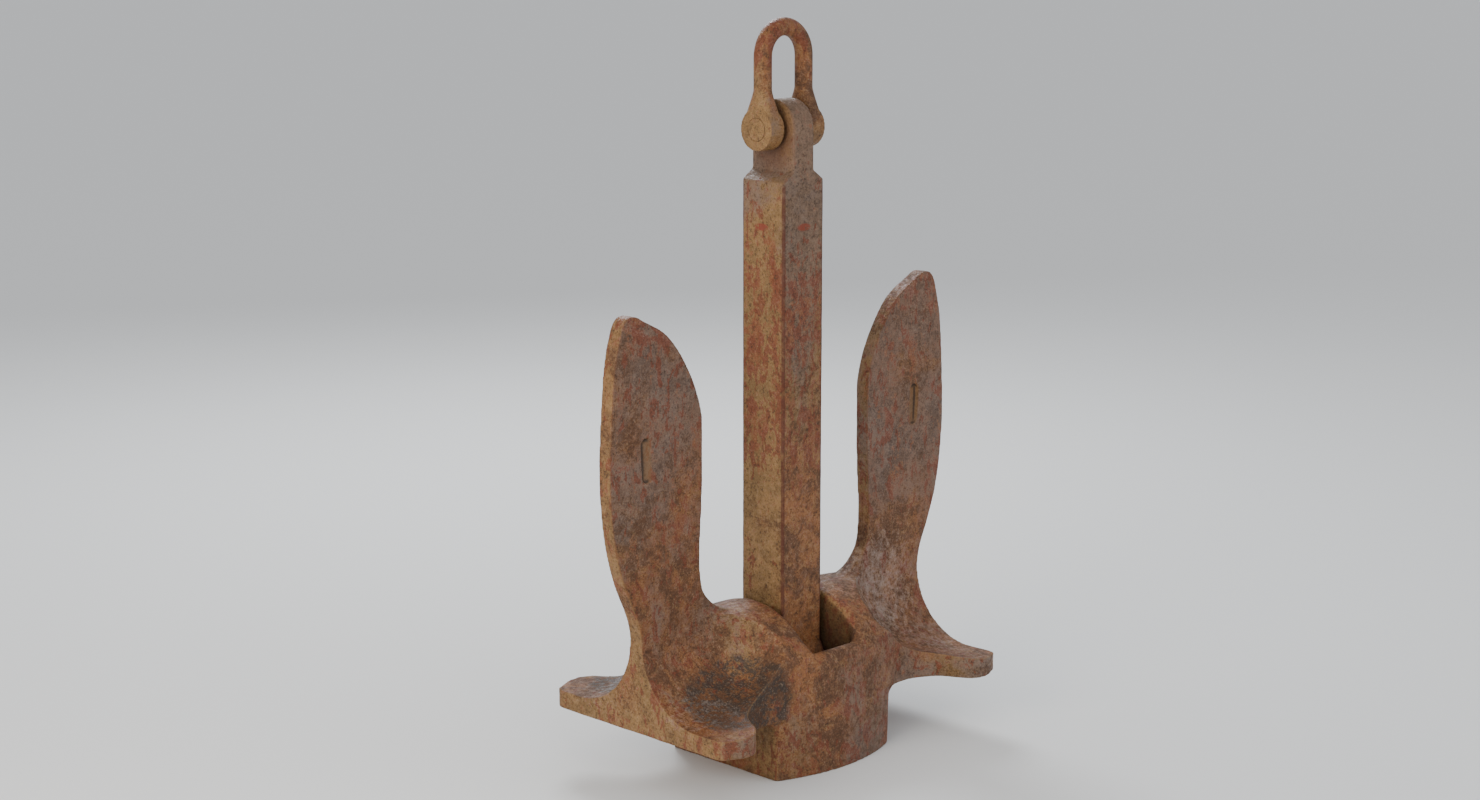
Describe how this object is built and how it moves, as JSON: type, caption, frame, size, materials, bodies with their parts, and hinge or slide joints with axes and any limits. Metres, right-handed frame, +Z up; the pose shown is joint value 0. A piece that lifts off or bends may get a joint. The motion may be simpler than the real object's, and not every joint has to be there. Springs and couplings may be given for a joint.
{
  "type": "stockless ship's anchor",
  "caption": "Stockless fluke anchor: a cast head with two upright flukes and spread palms tilts on a square forged shank, which carries a round-bar shackle at its top. Rusted all over.",
  "frame": {"origin": "centre of the crown's flat bottom, under the tilt axis", "axes": "+Z up along the upright shank, X along the crown pin from fluke to fluke, Y across the flukes' faces"},
  "size_m": [1.17, 0.6146, 1.801],
  "materials": {
    "cast_rust": "heavily rusted rough casting",
    "forged_rust": "heavily rusted forging",
    "shackle_rust": "rusted round bar",
    "dark_steel": "dark rust with old grease",
    "bolt_steel": "rusted bolt heads",
    "pin_steel": "rusted pin ends",
    "lead": "dull grey lead"
  },
  "bodies": {
    "head": {"head": "cast_rust", "crown_pin": "dark_steel", "keeper_block_left": "dark_steel", "keeper_block_right": "dark_steel", "keeper_bolts": "bolt_steel"},
    "shank": {"shank": "forged_rust"},
    "shackle": {"shackle_bow": "shackle_rust", "shackle_pin": "pin_steel", "locking_pin": "pin_steel", "lead_plug": "lead"}
  },
  "joints": [
    {"name": "crown_tilt", "type": "hinge", "parent": "head", "child": "shank", "pos_m": [0, 0, 0.224], "axis": [1, 0, 0], "range_deg": [-42, 42]},
    {"name": "shackle_swing", "type": "hinge", "parent": "shank", "child": "shackle", "pos_m": [0, 0, 1.541], "axis": [1, 0, 0], "range_deg": [-130, 130]}
  ]
}
